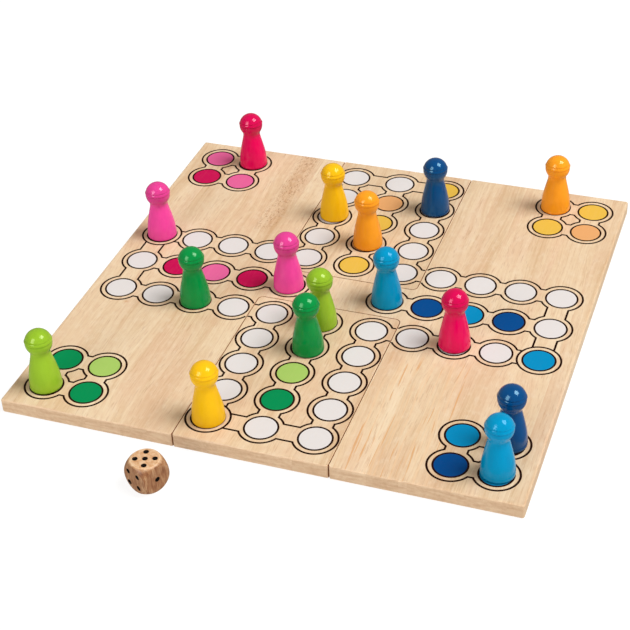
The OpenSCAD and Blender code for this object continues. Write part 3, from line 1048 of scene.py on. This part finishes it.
def die_shape(n=44):
    """Cube whose corners a ball has rounded, with the rims worn soft."""
    h, ball, k = DIE_S / 2, DIE_S * DIE_BALL, 0.9
    ids, verts, faces = {}, [], []

    def point(d):
        d = d.normalized()
        dist = [ball] + [h / max(abs(c), 1e-6) for c in d]
        m = min(dist)
        s = sum(math.exp(-(q - m) / k) for q in dist)
        r = m - k * math.log(s) * 0.55
        p = d * r
        return Vector(tuple(max(-h, min(h, c)) for c in p))

    def vid(d):
        key = (round(d.x, 6), round(d.y, 6), round(d.z, 6))
        if key not in ids:
            ids[key] = len(verts)
            verts.append(point(d))
        return ids[key]

    for axis in range(3):
        for s in (-1, 1):
            for i in range(n):
                for j in range(n):
                    q = []
                    for a, b in ((i, j), (i + 1, j), (i + 1, j + 1), (i, j + 1)):
                        u, v = math.tan((a / n - 0.5) * math.pi / 2), math.tan((b / n - 0.5) * math.pi / 2)
                        d = [0, 0, 0]
                        d[axis], d[(axis + 1) % 3], d[(axis + 2) % 3] = s, u, v
                        q.append(vid(Vector(d)))
                    faces.append(tuple(q) if s > 0 else tuple(reversed(q)))
    return verts, faces


def pip_places():
    """(rotation of the face, list of (u, v)) for the six faces."""
    o = PIP_O
    one, two = [(0, 0)], [(o, o), (-o, -o)]
    three, four = two + one, [(o, o), (-o, -o), (-o, o), (o, -o)]
    five, six = four + one, four + [(o, 0), (-o, 0)]
    return [
        (Matrix.Identity(3), five),
        (Matrix.Rotation(math.pi, 3, "X"), two),
        (Matrix.Rotation(math.pi / 2, 3, "X"), one),
        (Matrix.Rotation(-math.pi / 2, 3, "X"), six),
        (Matrix.Rotation(math.pi / 2, 3, "Y"), three),
        (Matrix.Rotation(-math.pi / 2, 3, "Y"), four),
    ]


def make_die():
    verts, faces = die_shape()
    ob = make_object("die_body", [tuple(v) for v in verts], faces, [DIE_WOOD])
    ball = 1.35 * PIP_R
    lift = math.sqrt(ball * ball - PIP_R * PIP_R)
    cv, cf = [], []
    pv, pf = [], []
    ball_profile = [(0, -ball)] + [(ball * math.cos(a), ball * math.sin(a)) for a in [math.radians(-90 + 180 * k / 24) for k in range(1, 24)]] + [(0, ball)]
    v0, f0 = turned(ball_profile, 48)
    # paint in the hollow: a thin dish just above its surface, with its rim a little under the face
    q = ball - 0.07
    rim = -(lift + 0.10)
    a_rim = math.asin(rim / q)
    dish = [(0, -ball - 0.08)]
    for k in range(1, 9):
        a = -math.pi / 2 + (math.asin(rim / (ball + 0.08)) + math.pi / 2) * k / 8
        dish.append(((ball + 0.08) * math.cos(a), (ball + 0.08) * math.sin(a)))
    for k in range(8, 0, -1):
        a = -math.pi / 2 + (a_rim + math.pi / 2) * k / 8
        dish.append((q * math.cos(a), q * math.sin(a)))
    dish.append((0, -q))
    v1, f1 = turned(dish, 48)
    for rot, spots in pip_places():
        for u, v in spots:
            centre = Vector((u, v, DIE_S / 2 + lift))
            for src_v, src_f, dst_v, dst_f in ((v0, f0, cv, cf), (v1, f1, pv, pf)):
                base = len(dst_v)
                dst_v += [tuple(rot @ (centre + Vector(w))) for w in src_v]
                dst_f += [tuple(base + i for i in f) for f in src_f]
    cutter = make_object("pip_cutter", cv, cf, [DIE_WOOD])
    boolean(ob, cutter, "DIFFERENCE")
    tidy(ob)
    smooth(ob, 38.0, False)
    pips = make_object("die_pips", pv, pf, [PIP_BLACK])
    smooth(pips, 50.0, False)
    for o in (ob, pips):
        o.rotation_euler = (0.0, 0.0, math.radians(DIE_YAW))
        o.location = tuple(c * MM for c in DIE_AT)
        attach(o, "die")
    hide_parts("die")


make_die()


# ---------------------------------------------------------------- floor, light, camera

def make_stage():
    g = Graph("pale_floor")
    p = g.object_mm()
    n = g.noise(g.vec("MULTIPLY", p, (0.004, 0.004, 0.004)), 2.0, 0.5)
    g.set(Base_Color=g.ramp(n, [(0.3, (0.17, 0.17, 0.17)), (0.7, (0.19, 0.19, 0.19))]), Roughness=0.8, Specular_IOR_Level=0.1)
    g.set(Emission_Color=(1.0, 1.0, 1.0, 1.0), Emission_Strength=0.88)
    s = 9000.0
    floor = make_object("floor", [(-s, -s, -0.05), (s, -s, -0.05), (s, s, -0.05), (-s, s, -0.05)], [(0, 1, 2, 3)], [g.mat])
    floor.visible_glossy = False
    world = bpy.data.worlds.new("studio")
    world.use_nodes = True
    bg = world.node_tree.nodes["Background"]
    bg.inputs["Color"].default_value = (1.0, 0.92, 0.82, 1.0)
    bg.inputs["Strength"].default_value = 0.31
    # behind the floor's far edge a low view sees the same pale tone as the floor
    tree = world.node_tree
    pale = tree.nodes.new("ShaderNodeBackground")
    pale.inputs["Color"].default_value = (1.0, 1.0, 1.0, 1.0)
    pale.inputs["Strength"].default_value = 1.05
    path = tree.nodes.new("ShaderNodeLightPath")
    both = tree.nodes.new("ShaderNodeMixShader")
    tree.links.new(path.outputs["Is Camera Ray"], both.inputs[0])
    tree.links.new(bg.outputs[0], both.inputs[1])
    tree.links.new(pale.outputs[0], both.inputs[2])
    tree.links.new(both.outputs[0], tree.nodes["World Output"].inputs["Surface"])
    scene.world = world


def area(name, at, aim, size, size_y, power, colour):
    d = bpy.data.lights.new(name, "AREA")
    d.shape, d.size, d.size_y, d.energy, d.color = "RECTANGLE", size, size_y, power, colour
    o = bpy.data.objects.new(name, d)
    scene.collection.objects.link(o)
    o.location = at
    o.rotation_mode = "QUATERNION"
    o.rotation_quaternion = (Vector(aim) - Vector(at)).to_track_quat("-Z", "Y")
    return o


def make_camera():
    d = bpy.data.cameras.new("camera")
    d.sensor_fit, d.sensor_width = "HORIZONTAL", 36.0
    d.lens = 86.12
    d.clip_start, d.clip_end = 0.05, 60.0
    o = bpy.data.objects.new("camera", d)
    scene.collection.objects.link(o)
    right = Vector((0.94296, 0.33027, -0.04180))
    down = Vector((0.16383, -0.56968, -0.80537))
    ahead = Vector((-0.28980, 0.75258, -0.59130))
    o.matrix_world = Matrix((
        (right.x, -down.x, -ahead.x, 0.42416),
        (right.y, -down.y, -ahead.y, -1.16934),
        (right.z, -down.z, -ahead.z, 0.90075),
        (0, 0, 0, 1),
    ))
    scene.camera = o


make_stage()
area("key", (4.07, 0.53, 6.86), (0.0, 0.0, 0.0), 3.9, 3.9, 590.0, (1.0, 0.995, 1.0))
fill = area("front_fill", (-2.41, -6.96, 3.14), (0.0, 0.0, 0.03), 3.1, 4.6, 178.0, (1.0, 0.985, 0.965))
fill.visible_glossy = False
# a tall soft box that only shows in the lacquer
strip = area("tall_softbox", (-3.04, -5.92, 4.44), (0.0, 0.0, 0.05), 3.5, 4.7, 370.0, (1.0, 0.99, 0.98))
strip.visible_diffuse = False
make_camera()
scene.view_settings.view_transform = "Standard"
scene.view_settings.look = "None"
